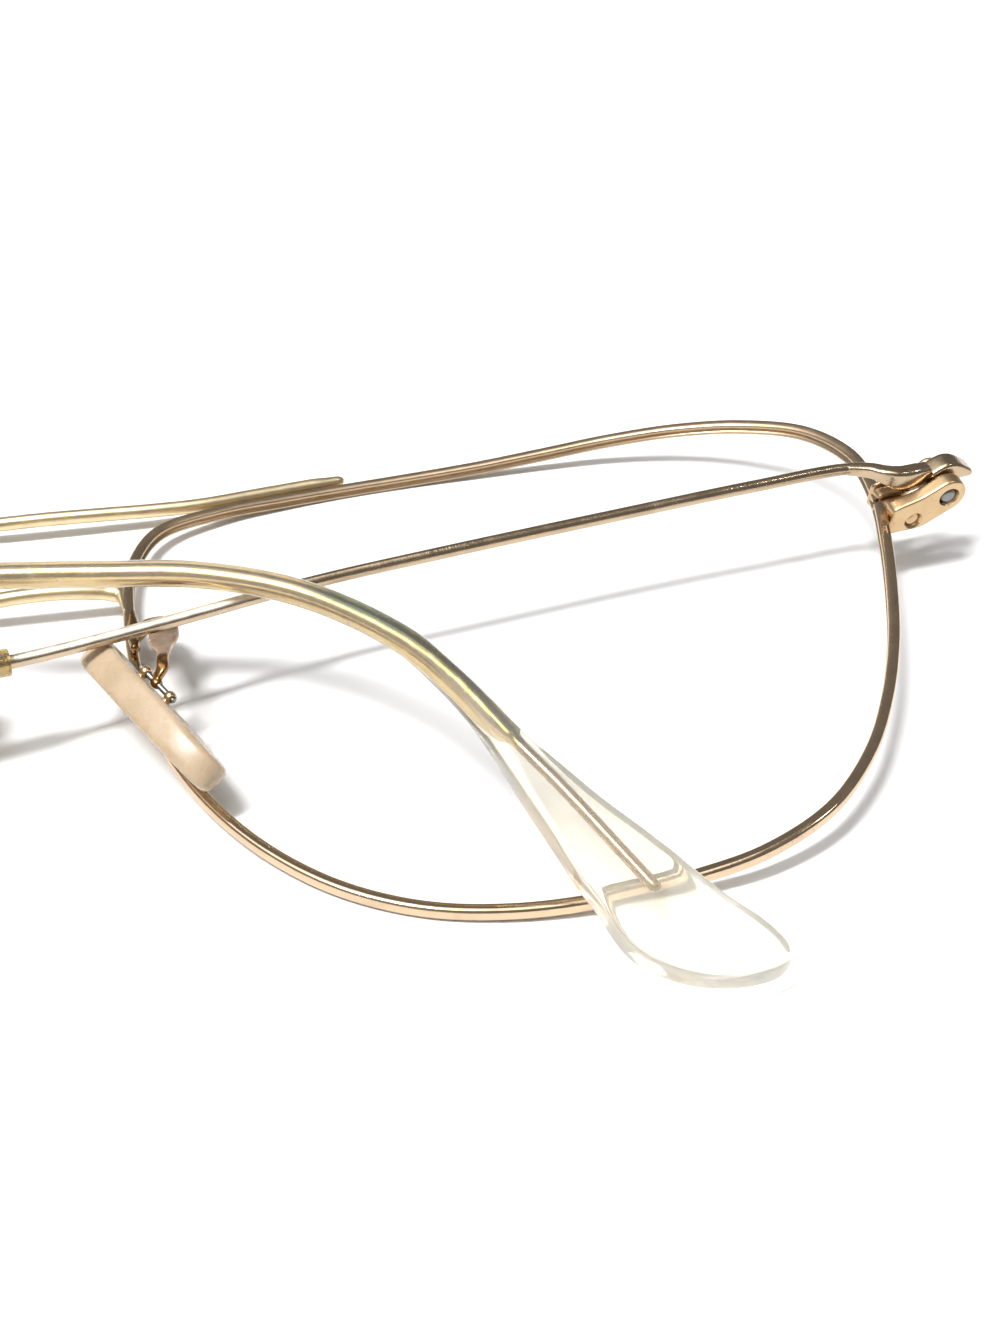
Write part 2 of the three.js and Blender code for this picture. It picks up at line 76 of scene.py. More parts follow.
CORE = {
    "right": [[-7.4, -5.05, 8.62], [-14.3, -6.6, 8.5], [-21.0, -9.6, 8.1], [-27.0, -14.9, 7.4], [-30.0, -19.3, 6.4], [-33.2, -24.6, 5.05], [-35.3, -28.0, 4.25], [-38.0, -32.3, 3.25]],
    "left": [[5.67, 3.07, 9.7], [12.59, 1.73, 9.7], [19.33, -1.58, 9.7], [25.58, -7.1, 9.2], [28.45, -11.0, 8.5], [31.6, -16.6, 7.25], [33.96, -20.4, 6.28], [38.3, -27.7, 4.0]],
}
TIP = {
    "right": [
        [-0.54, -3.6, 8.0, .96, .96], [-7.4, -5.05, 8.62, .96, .96], [-14.3, -6.6, 8.5, .96, .96], [-21.0, -9.6, 8.1, .96, .96],
        [-27.0, -14.9, 7.4, .96, .96], [-30.0, -19.3, 6.4, 1.12, 0.98], [-31.4, -21.9, 5.75, 1.36, 1.0], [-33.4, -25.7, 4.78, 2.0, 1.0],
        [-35.9, -29.9, 3.8, 3.0, 0.98], [-38.8, -34.4, 2.85, 3.8, 0.95], [-40.74, -36.68, 2.45, 3.66, 0.95], [-42.64, -37.88, 2.16, 2.9, 0.92], [-44.18, -38.49, 2.03, 1.45, 0.9], [-44.83, -38.39, 2.0, 0.45, 0.88],
    ],
    "left": [
        [-3, 4.45, 9.6, .96, .96], [5.67, 3.07, 9.7, .96, .96], [12.59, 1.73, 9.7, .96, .96], [19.33, -1.58, 9.7, .96, .96],
        [25.58, -7.1, 9.2, .96, .96], [28.3, -11.1, 8.5, 1.02, 0.97], [29.9, -14.0, 7.95, 1.12, 0.98], [31.4, -17.0, 7.2, 1.36, 1.0],
        [34.2, -22.2, 5.75, 2.15, 1.0], [36.5, -25.9, 4.6, 3.0, 0.98], [39.3, -30.2, 3.3, 3.8, 0.95], [41.14, -32.38, 2.7, 3.66, 0.95], [42.94, -33.48, 2.25, 2.9, 0.92], [44.48, -34.09, 2.05, 1.45, 0.9], [45.13, -33.99, 2.02, 0.45, 0.88],
    ],
}
# rounded end of the blade in plan: lower edge, tip, upper edge; and its height at these distances along it
BLADE_END = [
    [-1.8, -3.2], [-1.2, -4.95], [-0.33, -6.42], [1.32, -7.6], [3.05, -8.26], [5.4, -8.51], [7.39, -8.28], [8.57, -7.85],
    [9.1, -7.3], [9.17, -6.7], [8.87, -5.74], [7.9, -4.4], [6.41, -2.95], [4.65, -0.9], [3.74, 0.28],
]
BLADE_AT = [0, 5.2, 8.1, 10.1, 11.9]
BLADE_Z = {"left": [4.6, 3.3, 2.7, 2.25, 2.02], "right": [3.8, 2.85, 2.45, 2.16, 2.0]}
PAD = {"at": [9.015, -4.86, 5.65], "along": [0.5134, -0.8509, -0.11], "back": [0.783, 0.4125, 0.4646]}
PAD_ARM = [[6.98, 4.45, 2.32], [7.58, 5.13, 2.5], [8.45, 5.67, 2.9], [9.45, 4.85, 3.4], [9.9, 2.81, 4.0], [9.66, 0.45, 4.9], [9.5, -1.5, 5.75], [9.42, -3.0, 6.3], [9.42, -3.9, 6.3], [8.95, -4.45, 5.8]]

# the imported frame's origin, from the right hinge, whose place is known in both
_joint = [j for j in frame["joints"] if j["name"] == "right_temple_hinge"][0]
OFF = np.array(_joint["pos_m"], float) * 1000.0 - np.array(HINGE["right"]["at"], float)

# camera, in the same millimetres as the dimensions above
CAM_AT = np.array([16.6972, -96.3937, 81.2217])
CAM_RIGHT = np.array([0.98481, -0.17365, 0.0])
CAM_UP = np.array([0.11102, 0.62960, 0.76895])
FOCAL_PX, IMAGE_H = 1700.0, 1330.0


# ------------------------------------------------------------------ curves and meshes, in mm
def unit(v):
    v = np.asarray(v, float)
    return v / np.linalg.norm(v, axis=-1, keepdims=True)


def smooth(x, a, b):
    t = np.clip((np.asarray(x, float) - a) / (b - a), 0, 1)
    return t * t * (3 - 2 * t)


def catmull(points, closed=False, per=40):
    """Centripetal curve through the points, sampled evenly in each of its spans."""
    p = np.asarray(points, float)
    l = len(p)
    out = []
    spans = l if closed else l - 1
    for i in range(spans):
        p0 = p[(i - 1) % l] if (closed or i > 0) else 2 * p[0] - p[1]
        p1, p2 = p[i % l], p[(i + 1) % l]
        p3 = p[(i + 2) % l] if (closed or i + 2 < l) else 2 * p[-1] - p[-2]
        d0, d1, d2 = (max(np.sum((a[:3] - b[:3]) ** 2), 1e-12) ** 0.25 for a, b in ((p0, p1), (p1, p2), (p2, p3)))
        t1 = ((p1 - p0) / d0 - (p2 - p0) / (d0 + d1) + (p2 - p1) / d1) * d1
        t2 = ((p2 - p1) / d1 - (p3 - p1) / (d1 + d2) + (p3 - p2) / d2) * d1
        t = (np.arange(per) / per)[:, None]
        out.append(p1 + t1 * t + (-3 * p1 + 3 * p2 - 2 * t1 - t2) * t ** 2 + (2 * p1 - 2 * p2 + t1 + t2) * t ** 3)
    if not closed:
        out.append(p[-1:])
    return np.concatenate(out)


def lengths(p):
    return np.concatenate([[0], np.cumsum(np.linalg.norm(np.diff(p[:, :3], axis=0), axis=1))])


def at_length(p, s):
    d = lengths(p)
    return np.stack([np.interp(s, d, p[:, k]) for k in range(p.shape[1])], axis=1)


def resample(p, step):
    total = lengths(p)[-1]
    n = max(2, int(round(total / step)) + 1)
    return at_length(p, np.linspace(0, total, n))


def tangents(p):
    return unit(np.gradient(p[:, :3], axis=0))


def side_frames(p, up=(0, 0, 1)):
    """Across and over directions along a curve, from one fixed up direction."""
    t = tangents(p)
    lat = unit(np.cross(t, np.asarray(up, float)))
    return t, lat, np.cross(lat, t)


def section(n, power=2.0):
    a = 2 * np.pi * np.arange(n) / n
    c, s = np.cos(a), np.sin(a)
    return np.sign(c) * np.abs(c) ** (2 / power), np.sign(s) * np.abs(s) ** (2 / power)


def loft(rings, closed=False):
    rings = np.asarray(rings, float)
    n, m, _ = rings.shape
    faces = []
    for i in range(n if closed else n - 1):
        a, b = i * m, ((i + 1) % n) * m
        for j in range(m):
            k = (j + 1) % m
            faces.append((a + j, a + k, b + k, b + j))
    if not closed:
        faces.append(tuple(range(m - 1, -1, -1)))
        faces.append(tuple((n - 1) * m + j for j in range(m)))
    return rings.reshape(-1, 3), faces


def tube(p, w, h=None, sides=28, power=2.0, ends=(1.0, 1.0), up=(0, 0, 1)):
    """Round or flattened bar along p; ends give how far each rounded end reaches, in half widths."""
    p = np.asarray(p, float)
    w = np.broadcast_to(np.asarray(w, float), len(p)).copy()
    h = w.copy() if h is None else np.broadcast_to(np.asarray(h, float), len(p)).copy()
    power = np.broadcast_to(np.asarray(power, float), len(p))
    t, lat, nor = side_frames(p, up)
    rings = []

    def ring(i, shift=0.0, scale=1.0):
        x, y = section(sides, power[i])
        return p[i, :3] + t[i] * shift + scale * (x[:, None] * lat[i] * w[i] + y[:, None] * nor[i] * h[i])

    steps = np.radians([86, 74, 60, 45, 30, 15])
    if ends[0]:
        rings += [ring(0, -math.sin(a) * ends[0] * min(w[0], h[0]), math.cos(a)) for a in steps]
    rings += [ring(i) for i in range(len(p))]
    if ends[1]:
        rings += [ring(len(p) - 1, math.sin(a) * ends[1] * min(w[-1], h[-1]), math.cos(a)) for a in steps[::-1]]
    return loft(rings)


def slab_section(w, h, e, flats=8, turns=6):
    """Section of half width w and half thickness h with edges rounded to e; a circle when all three are equal."""
    x0, y0 = w - e, h - e
    pts = []
    for cx, cy, a in ((x0, y0, 0), (-x0, y0, 90), (-x0, -y0, 180), (x0, -y0, 270)):
        pts += [(cx + e * math.cos(math.radians(a + 90 * i / turns)), cy + e * math.sin(math.radians(a + 90 * i / turns))) for i in range(turns + 1)]
        if a in (0, 180):
            f = 1 if a == 0 else -1
            pts += [(f * x0 * (1 - 2 * i / flats), f * h) for i in range(1, flats)]
    return np.array(pts)


def lathe(profile, n=36, axis="y"):
    """Profile of (height, radius) turned about an axis; both ends closed."""
    a = 2 * np.pi * np.arange(n) / n
    rings = []
    for y, r in profile:
        c, s = r * np.cos(a), r * np.sin(a)
        rings.append(np.stack([c, np.full(n, y), -s] if axis == "y" else [np.full(n, y), c, s], axis=1))
    return loft(rings)


def inset_loop(p, d):
    """Closed 2-D outline moved inwards by d, its corners mitred; the outline runs anticlockwise."""
    e = unit(np.roll(p, -1, axis=0) - p)
    n = np.stack([-e[:, 1], e[:, 0]], axis=1)
    m = unit(n + np.roll(n, 1, axis=0))
    k = np.clip(np.sum(m * n, axis=1), 0.35, 1)
    return p + m * (d / k)[:, None]


def area2(p):
    return 0.5 * np.sum(p[:, 0] * np.roll(p[:, 1], -1) - np.roll(p[:, 0], -1) * p[:, 1])


def rounded(points, radius, n=6):
    """Outline with its corners rounded."""
    p = np.asarray(points, float)
    r = np.broadcast_to(np.asarray(radius, float), len(p))
    out = []
    for i in range(len(p)):
        a, b, c = p[i - 1], p[i], p[(i + 1) % len(p)]
        u, v = a - b, c - b
        lu, lv = np.linalg.norm(u), np.linalg.norm(v)
        d = min(r[i], 0.45 * lu, 0.45 * lv)
        if d < 1e-3:
            out.append(b)
            continue
        s, e = b + u / lu * d, b + v / lv * d
        for k in range(n + 1):
            t = k / n
            out.append((1 - t) ** 2 * s + 2 * t * (1 - t) * b + t ** 2 * e)
    return np.array(out)


def plate(outline, y0, y1, bevel=0.12, holes=()):
    """Plate drawn in x and z and raised along y, with rounded edges and round holes (x, z, r)."""
    p = np.asarray(outline, float)
    if area2(p) < 0:
        p = p[::-1]
    arc = [math.radians(a) for a in (0, 30, 60, 90)]
    levels = [(y0 + bevel * (1 - math.sin(a)), bevel * (1 - math.cos(a))) for a in arc[::-1]]
    levels += [(y1 - bevel * (1 - math.sin(a)), bevel * (1 - math.cos(a))) for a in arc]
    rings = []
    for y, d in levels:
        q = inset_loop(p, d)
        rings.append(np.stack([q[:, 0], np.full(len(q), y), q[:, 1]], axis=1))
    n = len(p)
    verts = [v for r in rings for v in r]
    faces = []
    for i in range(len(rings) - 1):
        for j in range(n):
            k = (j + 1) % n
            faces.append((i * n + j, i * n + k, (i + 1) * n + k, (i + 1) * n + j))
    m = 28
    a = 2 * np.pi * np.arange(m) / m
    rb = min(0.08, bevel)
    hole_rings = []
    for hx, hz, hr in holes:
        ids = []
        for y, g in ((y0, rb), (y0 + 0.3 * rb, 0.3 * rb), (y0 + rb, 0), (y1 - rb, 0), (y1 - 0.3 * rb, 0.3 * rb), (y1, rb)):
            ids.append(list(range(len(verts), len(verts) + m)))
            verts += list(np.stack([hx + (hr + g) * np.cos(a), np.full(m, y), hz + (hr + g) * np.sin(a)], axis=1))
        for i in range(len(ids) - 1):
            for j in range(m):
                k = (j + 1) % m
                faces.append((ids[i][j], ids[i + 1][j], ids[i + 1][k], ids[i][k]))
        hole_rings.append(ids)
    for level, pick in ((0, 0), (len(rings) - 1, -1)):
        loops = [[level * n + j for j in range(n)]] + [ids[pick][::-1] for ids in hole_rings]
        flat = [i for loop in loops for i in loop]
        tris = tessellate_polygon([[Vector((verts[i][0], verts[i][2], 0)) for i in loop] for loop in loops])
        for tri in tris:
            faces.append(tuple(flat[i] for i in tri))
    return np.array(verts), faces


def temp(part):
    """Working object in mm, its faces turned outwards."""
    verts, faces = part
    me = bpy.data.meshes.new("work")
    me.from_pydata([tuple(map(float, v)) for v in verts], [], [tuple(map(int, f)) for f in faces])
    bm = bmesh.new()
    bm.from_mesh(me)
    bmesh.ops.recalc_face_normals(bm, faces=bm.faces)
    if bm.calc_volume(signed=True) < 0:
        bmesh.ops.reverse_faces(bm, faces=bm.faces)
    bm.to_mesh(me)
    bm.free()
    o = bpy.data.objects.new("work", me)
    scene.collection.objects.link(o)
    return o


def baked(o, keep=False):
    dg = bpy.context.evaluated_depsgraph_get()
    me = bpy.data.meshes.new_from_object(o.evaluated_get(dg))
    if not keep:
        drop(o)
    return me


def drop(o):
    me = o.data
    bpy.data.objects.remove(o)
    if me.users == 0:
        bpy.data.meshes.remove(me)


def boolean(base, tool, operation):
    a, b = temp_of(base), temp_of(tool)
    m = a.modifiers.new("cut", "BOOLEAN")
    m.object, m.operation, m.solver = b, operation, "EXACT"
    bpy.context.view_layer.update()
    me = baked(a)
    drop(b)
    return me


def temp_of(part):
    if isinstance(part, bpy.types.Mesh):
        o = bpy.data.objects.new("work", part)
        scene.collection.objects.link(o)
        return o
    return temp(part)


def fused(parts, voxel=0.05, passes=6):
    """Overlapping closed shapes melted into one skin, as in a casting or a soldered joint."""
    verts, faces = [], []
    for part in parts:
        o = temp_of(part)
        base = len(verts)
        verts += [tuple(v.co) for v in o.data.vertices]
        faces += [tuple(base + i for i in f.vertices) for f in o.data.polygons]
        drop(o)
    me = bpy.data.meshes.new("work")
    me.from_pydata(verts, [], faces)
    o = bpy.data.objects.new("work", me)
    scene.collection.objects.link(o)
    r = o.modifiers.new("skin", "REMESH")
    r.mode, r.voxel_size, r.adaptivity = "VOXEL", voxel, 0.0
    s = o.modifiers.new("soft", "SMOOTH")
    s.factor, s.iterations = 0.5, passes
    bpy.context.view_layer.update()
    return baked(o)


def moved(part, matrix):
    """Copy of a part with its points taken through a 4x4 matrix."""
    m = np.asarray(matrix, float)
    if isinstance(part, bpy.types.Mesh):
        part.transform(Matrix(m.tolist()))
        if np.linalg.det(m[:3, :3]) < 0:
            part.flip_normals()
        return part
    verts, faces = part
    return np.asarray(verts) @ m[:3, :3].T + m[:3, 3], faces


MIRROR = np.diag([-1.0, 1.0, 1.0, 1.0])


def piece(name, part, body, node, material, angle=38, weighted=False, along=None, facing=None):
    """Finished piece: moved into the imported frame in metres, shaded, and tied to its body."""
    me = part if isinstance(part, bpy.types.Mesh) else None
    if me is None:
        o = temp(part)
        me = o.data
        bpy.data.objects.remove(o)
    if along is not None:
        co = np.empty(len(me.vertices) * 3)
        me.vertices.foreach_get("co", co)
        co = co.reshape(-1, 3)
        d = lengths(along)
        s, over = np.empty(len(co)), np.zeros(len(co))
        for i in range(0, len(co), 2000):
            near = ((co[i:i + 2000, None, :] - along[None, :, :3]) ** 2).sum(-1).argmin(1)
            s[i:i + 2000] = d[near]
            if facing is not None:
                off = co[i:i + 2000] - along[near, :3]
                over[i:i + 2000] = (off / np.maximum(np.linalg.norm(off, axis=1, keepdims=True), 1e-6)) @ unit(facing)
        for label, values in (("along", s), ("over", over)):
            at = me.attributes.get(label) or me.attributes.new(label, "FLOAT", "POINT")
            at.data.foreach_set("value", values.astype(np.float32))
    me.transform(Matrix.Diagonal((0.001, 0.001, 0.001, 1.0)) @ Matrix.Translation(Vector(OFF)))
    me.name = name
    me.materials.clear()
    me.materials.append(material)
    me.polygons.foreach_set("use_smooth", [True] * len(me.polygons))
    me.set_sharp_from_angle(angle=math.radians(angle))
    o = bpy.data.objects.new(name, me)
    scene.collection.objects.link(o)
    if weighted:
        w = o.modifiers.new("normals", "WEIGHTED_NORMAL")
        w.mode, w.keep_sharp, w.weight = "FACE_AREA", True, 60
    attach(o, body)
    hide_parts(node)
    return o


# ------------------------------------------------------------------ materials
def new_material(name):
    m = bpy.data.materials.new(name)
    m.use_nodes = True
    nt = m.node_tree
    nt.nodes.clear()
    out = nt.nodes.new("ShaderNodeOutputMaterial")
    b = nt.nodes.new("ShaderNodeBsdfPrincipled")
    nt.links.new(b.outputs[0], out.inputs[0])
    return m, nt, b, out


def put(nt, kind, values=None, **settings):
    n = nt.nodes.new(kind)
    for k, v in settings.items():
        setattr(n, k, v)
    for k, v in (values or {}).items():
        if hasattr(v, "is_output"):
            nt.links.new(v, n.inputs[k])
        else:
            n.inputs[k].default_value = v
    return n


def noise(nt, where, scale, detail=4.0, rough=0.55, distortion=0.0):
    return put(nt, "ShaderNodeTexNoise", {"Vector": where, "Scale": scale, "Detail": detail, "Roughness": rough, "Distortion": distortion}).outputs["Fac"]


def remap(nt, value, a, b, lo=0.0, hi=1.0, soft=True):
    n = put(nt, "ShaderNodeMapRange", {"Value": value, "From Min": a, "From Max": b, "To Min": lo, "To Max": hi})
    n.interpolation_type = "SMOOTHSTEP" if soft else "LINEAR"
    return n.outputs["Result"]


def math_node(nt, kind, a, b):
    n = put(nt, "ShaderNodeMath", operation=kind)
    for i, v in enumerate((a, b)):
        if hasattr(v, "is_output"):
            nt.links.new(v, n.inputs[i])
        else:
            n.inputs[i].default_value = v
    return n.outputs[0]


def times(nt, a, b):
    return math_node(nt, "MULTIPLY", a, b)


def mix_colour(nt, fac, a, b):
    n = put(nt, "ShaderNodeMix", data_type="RGBA")
    for k, v in ((0, fac), (6, a), (7, b)):
        if hasattr(v, "is_output"):
            nt.links.new(v, n.inputs[k])
        else:
            n.inputs[k].default_value = v if k == 0 else (*v, 1.0)
    return n.outputs[2]


def where_node(nt):
    return put(nt, "ShaderNodeTexCoord").outputs["Object"]


def reading(nt, name):
    return put(nt, "ShaderNodeAttribute", attribute_name=name).outputs["Fac"]


def metal(name, light, dark, rough=(0.16, 0.3), tarnish=0.35, specks=0.5, spots=(0.12, 0.08, 0.05), tints=(), marks=0.0, brow_darker=0.0):
    """Plated wire: cloudy tarnish, fine dark specks, uneven polish and fine scratches.
    tints: (colour, from, to, run-in, share, upper side only, duller) for stretches along the piece, in mm: real colours
    such as verdigris, and also painted highlights.
    marks: fine ridges across the wire, left where it was drawn and bent.
    How much darker and duller the brow side of the frame is comes from the last argument."""
    m, nt, b, _ = new_material(name)
    w = where_node(nt)
    cloud = remap(nt, noise(nt, w, 420, 5, 0.6), 0.42, 0.72)
    colour = mix_colour(nt, times(nt, cloud, tarnish), light, dark)
    brow = remap(nt, put(nt, "ShaderNodeSeparateXYZ", {0: w}).outputs[1], 0.010, 0.027)
    # colour darker towards the brow side of the frame
    if brow_darker:
        colour = mix_colour(nt, times(nt, brow, brow_darker * 3.0), colour, dark)
    dull = []
    for shade, a, c, into, share, upper, duller in tints:
        along = reading(nt, "along")
        window = times(nt, remap(nt, along, a, a + into), remap(nt, along, c, c - min(into, 2.0)))
        amount = times(nt, window, remap(nt, noise(nt, w, 700, 4, 0.65), 0.3, 0.6, 0.72, 1.0))
        if upper:
            amount = times(nt, amount, remap(nt, reading(nt, "over"), -0.12, 0.32, 0.1, 1.0))
        colour = mix_colour(nt, times(nt, amount, share), colour, shade)
        if duller:
            dull.append(times(nt, amount, duller))
    speck = remap(nt, noise(nt, w, 3600, 2, 0.5), 0.66, 0.76)
    zone = remap(nt, noise(nt, w, 160, 2, 0.5), 0.42, 0.6)
    speck = times(nt, times(nt, speck, zone), specks)
    colour = mix_colour(nt, speck, colour, spots)
    nt.links.new(colour, b.inputs["Base Color"])
    b.inputs["Metallic"].default_value = 1.0
    r = remap(nt, noise(nt, w, 700, 5, 0.65), 0.3, 0.75, rough[0], rough[1], False)
    r = math_node(nt, "ADD", r, times(nt, speck, 0.4))
    for d in dull:
        r = math_node(nt, "ADD", r, d)
    if brow_darker:
        r = math_node(nt, "ADD", r, times(nt, brow, brow_darker))
    nt.links.new(r, b.inputs["Roughness"])
    fine = noise(nt, w, 5200, 3, 0.6)
    broad = noise(nt, w, 650, 3, 0.5)
    height = math_node(nt, "ADD", times(nt, fine, 0.25), broad)
    if marks:
        ridge = put(nt, "ShaderNodeTexNoise", {"W": times(nt, reading(nt, "along"), 2.6), "Scale": 1.0, "Detail": 2.0, "Roughness": 0.6}, noise_dimensions="1D").outputs["Fac"]
        height = math_node(nt, "ADD", height, times(nt, times(nt, ridge, remap(nt, noise(nt, w, 110, 2, 0.5), 0.42, 0.6)), marks))
    bump = put(nt, "ShaderNodeBump", {"Strength": 0.2, "Distance": 0.00006, "Height": height})
    nt.links.new(bump.outputs[0], b.inputs["Normal"])
    return m


def clear_plastic(name):
    """Clear acetate: faintly warm, polished, with light handling marks; it lets light through to what it holds."""
    m, nt, b, out = new_material(name)
    w = where_node(nt)
    colour = mix_colour(nt, remap(nt, noise(nt, w, 120, 3, 0.5), 0.3, 0.7), (0.99, 0.985, 0.955), (0.98, 0.972, 0.93))
    # the flat blade is thicker to look through, and creamier
    along = reading(nt, "along")
    blade = remap(nt, along, 34.0, 47.0)
    cream = mix_colour(nt, remap(nt, noise(nt, w, 90, 3, 0.5), 0.3, 0.7), (0.82, 0.80, 0.735), (0.785, 0.76, 0.68))
    colour = mix_colour(nt, blade, colour, cream)
    # old glue has yellowed the mouth of the tube
    colour = mix_colour(nt, remap(nt, along, 2.2, 0.3), colour, (0.90, 0.78, 0.40))
    # painted dark edge lines: where the surface is seen edge-on, the base colour turns grey-green, standing in for the
    # dark reflections along the edges of clear plastic
    glance = put(nt, "ShaderNodeLayerWeight", {"Blend": 0.5}).outputs["Facing"]
    colour = mix_colour(nt, times(nt, remap(nt, glance, 0.7, 0.96), 0.62), colour, (0.38, 0.39, 0.32))
    nt.links.new(colour, b.inputs["Base Color"])
    nt.links.new(remap(nt, along, 34.0, 47.0, 0.94, 0.82), b.inputs["Transmission Weight"])
    b.inputs["IOR"].default_value = 1.49
    r = remap(nt, noise(nt, w, 900, 4, 0.6), 0.35, 0.8, 0.015, 0.06, False)
    nt.links.new(r, b.inputs["Roughness"])
    mark = put(nt, "ShaderNodeMapping", {"Vector": w, "Scale": (1.0, 5.0, 2.0), "Rotation": (0.3, 0.2, 0.9)}).outputs[0]
    bump = put(nt, "ShaderNodeBump", {"Strength": 0.05, "Distance": 0.00003, "Height": noise(nt, mark, 800, 3, 0.6)})
    nt.links.new(bump.outputs[0], b.inputs["Normal"])
    # light goes straight through the flat faces and is bent away at the edges
    through = mix_colour(nt, remap(nt, glance, 0.1, 0.5), (0.95, 0.945, 0.92), (0.2, 0.2, 0.19))
    see = put(nt, "ShaderNodeBsdfTransparent", {"Color": mix_colour(nt, blade, (0.16, 0.155, 0.14), through)})
    path = put(nt, "ShaderNodeLightPath")
    mix = put(nt, "ShaderNodeMixShader", {0: path.outputs["Is Shadow Ray"], 1: b.outputs[0], 2: see.outputs[0]})
    nt.links.new(mix.outputs[0], out.inputs[0])
    return m


def pad_plastic(name):
    """Skin-toned translucent plastic: cloudy, slightly yellowed, with fine rubbing marks."""
    m, nt, b, _ = new_material(name)
    w = where_node(nt)
    cloud = remap(nt, noise(nt, w, 300, 4, 0.6), 0.35, 0.7)
    colour = mix_colour(nt, cloud, (0.50, 0.385, 0.26), (0.43, 0.325, 0.21))
    speck = times(nt, remap(nt, noise(nt, w, 2600, 2, 0.5), 0.7, 0.8), 0.4)
    colour = mix_colour(nt, speck, colour, (0.28, 0.2, 0.13))
    nt.links.new(colour, b.inputs["Base Color"])
    b.inputs["Subsurface Weight"].default_value = 0.4
    b.inputs["Subsurface Radius"].default_value = (1.0, 0.65, 0.4)
    b.inputs["Subsurface Scale"].default_value = 0.0008
    b.inputs["IOR"].default_value = 1.47
    nt.links.new(remap(nt, noise(nt, w, 1100, 4, 0.6), 0.3, 0.75, 0.2, 0.38, False), b.inputs["Roughness"])
    bump = put(nt, "ShaderNodeBump", {"Strength": 0.12, "Distance": 0.00005, "Height": noise(nt, w, 1500, 4, 0.6)})
    nt.links.new(bump.outputs[0], b.inputs["Normal"])
    return m


ROSE = metal("rose_gold", (0.66, 0.50, 0.34), (0.38, 0.28, 0.18), rough=(0.09, 0.2), brow_darker=0.19)
# brow bar and lower bridge: gold with a lighter base colour, painted glare standing in for the strong light washing
# over them; its roughness is raised as well
PAINTED_GLARE_GOLD = metal("pale_gold", (0.76, 0.62, 0.39), (0.50, 0.39, 0.22), rough=(0.3, 0.42), tarnish=0.3)
WARM = metal("warm_gold", (0.60, 0.43, 0.245), (0.38, 0.25, 0.14), rough=(0.26, 0.4))
BRIGHT = metal("bright_gold", (0.70, 0.51, 0.30), (0.42, 0.28, 0.15), rough=(0.16, 0.28))
# steel: tarnished, and its base colour made darker still as painted shade for the recess that the hinge screw's tail
# sits in
STEEL_WITH_PAINTED_SHADE = metal("steel_with_painted_shade", (0.25, 0.25, 0.245), (0.14, 0.14, 0.137), rough=(0.34, 0.5), tarnish=0.5, specks=0.7)
# pad arms: gold with a darker, more orange base colour; the darkness is painted shade, keeping the strap from showing
# the overhead light's full reflection
ARM_GOLD_PAINTED_SHADE = metal("arm_gold_painted_shade", (0.3, 0.165, 0.065), (0.19, 0.1, 0.04), rough=(0.18, 0.32))
CLEAR = clear_plastic("clear_acetate")
NOSE = pad_plastic("nose_pad_plastic")
TEMPLE = {
    # right temple: its first tint is a painted highlight, a pale band along the upper side of the wire that stands in
    # for the reflection of the overhead light, with the roughness raised there; its other tints are verdigris and the
    # brown of the wire inside the blade
    "right": metal("right_temple_gold", (0.53, 0.405, 0.275), (0.32, 0.24, 0.15), tints=(((0.95, 0.88, 0.76), 46.0, 69.0, 5.0, 0.9, True, 0.34), ((0.11, 0.14, 0.06), 78.0, 104.0, 6.0, 0.6, True, 0.0), ((0.36, 0.26, 0.18), 105.8, 140.0, 0.6, 0.85, False, 0.06)), marks=2.4),
    "left": metal("left_temple_gold", (0.75, 0.57, 0.295), (0.46, 0.345, 0.17), tints=(((0.10, 0.145, 0.045), 86.5, 97.0, 3.5, 0.94, True, 0.0), ((0.125, 0.105, 0.02), 93.5, 110.5, 3.0, 0.94, True, 0.0), ((0.40, 0.285, 0.20), 107.3, 140.0, 0.6, 0.88, False, 0.06)), marks=1.2),
}


# ------------------------------------------------------------------ eyewires
def front_z(x, y):
    return RIM_MID + (np.abs(x) - APEX_X) ** 2 / (2 * BASE_CURVE_R) + (y * y - 625) / (2 * VERTICAL_R)


_outline = catmull(np.c_[np.array(RIM_OUTLINE), np.zeros(len(RIM_OUTLINE))], closed=True, per=60)
_outline = np.vstack([_outline, _outline[:1]])
RIM_LENGTH = lengths(_outline)[-1]


def outline_at(u):
    return at_length(_outline, (np.asarray(u, float) % 1.0) * RIM_LENGTH)


def hinge_basis(side):
    h = HINGE[side]
    folded, opened = unit(h["folded"]), unit(h["open"])
    axis = unit(np.cross(folded, opened))
    up = axis if side == "right" else -axis
    x = -folded if side == "right" else folded
    z = unit(np.cross(x, up))
    m = np.eye(4)
    m[:3, 0], m[:3, 1], m[:3, 2], m[:3, 3] = x, up, z, h["at"]
    return m


def split_at(side):
    m = hinge_basis(side)
    u = 0.28 + 0.2 * np.arange(2001) / 2000
    p = outline_at(u)
    q = np.stack([p[:, 0] if side == "right" else -p[:, 0], p[:, 1], front_z(p[:, 0], p[:, 1])], axis=1)
    return u[np.abs((q - m[:3, 3]) @ m[:3, 1]).argmin()]


